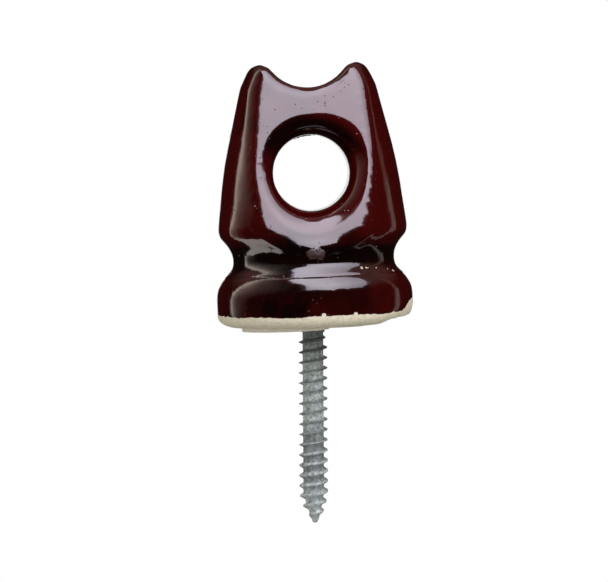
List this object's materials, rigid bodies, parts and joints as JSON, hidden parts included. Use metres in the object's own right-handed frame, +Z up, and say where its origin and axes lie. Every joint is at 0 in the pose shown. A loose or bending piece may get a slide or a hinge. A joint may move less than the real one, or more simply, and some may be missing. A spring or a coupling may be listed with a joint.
{
  "type": "screw-in fence insulator",
  "caption": "Brown glazed porcelain insulator with a rope hole, a saddle between two horns and a waist groove, cemented onto a zinc-coated wood screw.",
  "frame": {"origin": "middle of the porcelain body's underside, the face that comes against the post", "axes": "+Z up the body's axis, away from the post; +Y along the rope hole; +X towards the side that the picture shows on the right"},
  "size_m": [0.0408, 0.0408, 0.0955],
  "materials": {
    "brown_glaze": "high-gloss dark oxblood brown glaze, with the foot's edge bare",
    "cement": "pale grey setting cement, matt and slightly rough",
    "zinc_steel": "zinc-coated steel, dull grey"
  },
  "bodies": {
    "root": {"porcelain_body": "brown_glaze", "setting_cement": "cement", "wood_screw": "zinc_steel"}
  },
  "joints": []
}
